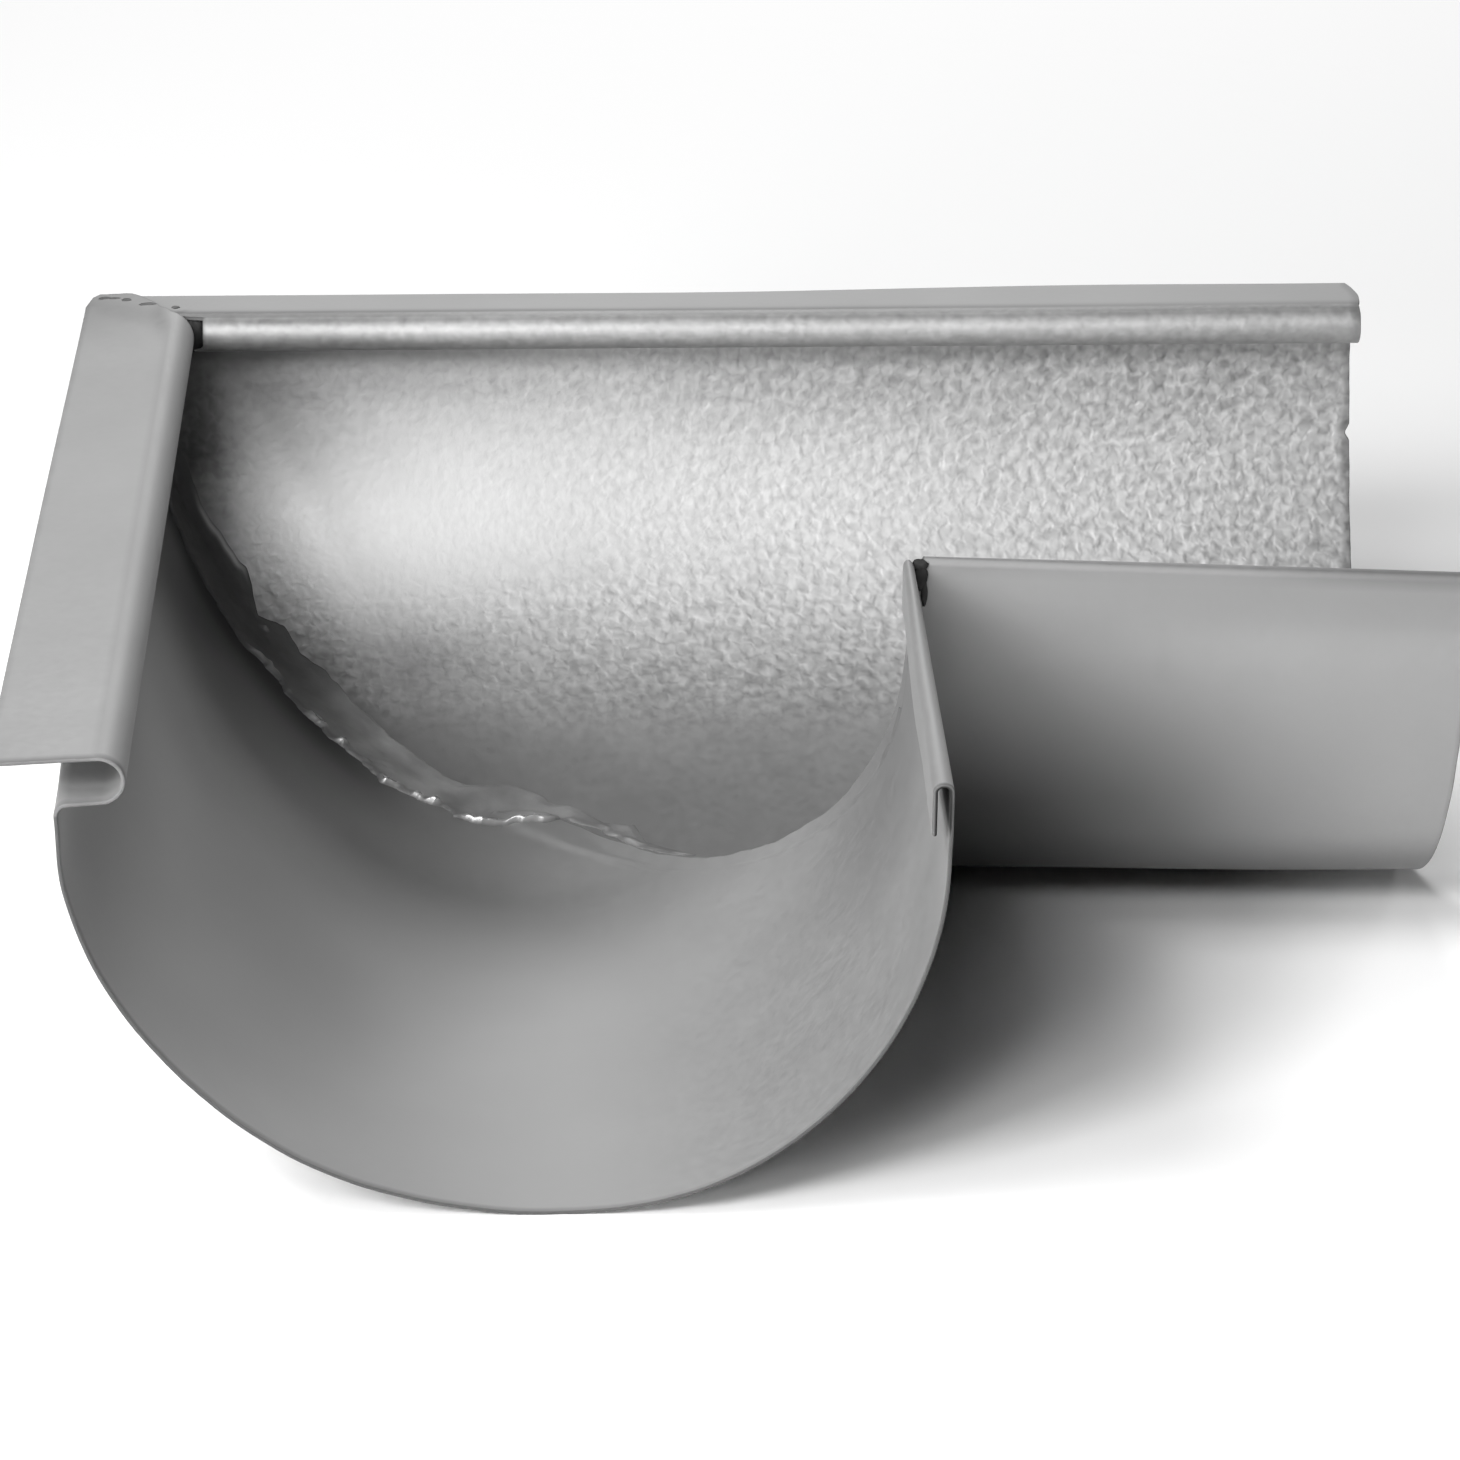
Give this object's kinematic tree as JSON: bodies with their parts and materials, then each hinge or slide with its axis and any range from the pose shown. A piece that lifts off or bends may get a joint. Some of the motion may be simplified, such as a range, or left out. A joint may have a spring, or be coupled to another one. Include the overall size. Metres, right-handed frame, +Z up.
{
  "type": "gutter outside miter",
  "caption": "Half-round gutter corner: open troughs joined at a right angle, with wide flat front lips on the outer sides, hemmed back edges and a sealed inside seam.",
  "frame": {"origin": "middle of the plan box, level with the lowest line of the troughs", "axes": "+X along the far leg to its open end, -Y along the near leg to its open end, +Z up"},
  "size_m": [0.266, 0.2544, 0.0894],
  "materials": {
    "sheet": "galvanised sheet steel, dull grey with fine mottling",
    "sealer": "dark grey seam sealer, smeared, glossy in spots"
  },
  "bodies": {
    "root": {"near_leg": "sheet", "far_leg": "sheet", "seam_sealer": "sealer"}
  },
  "joints": []
}
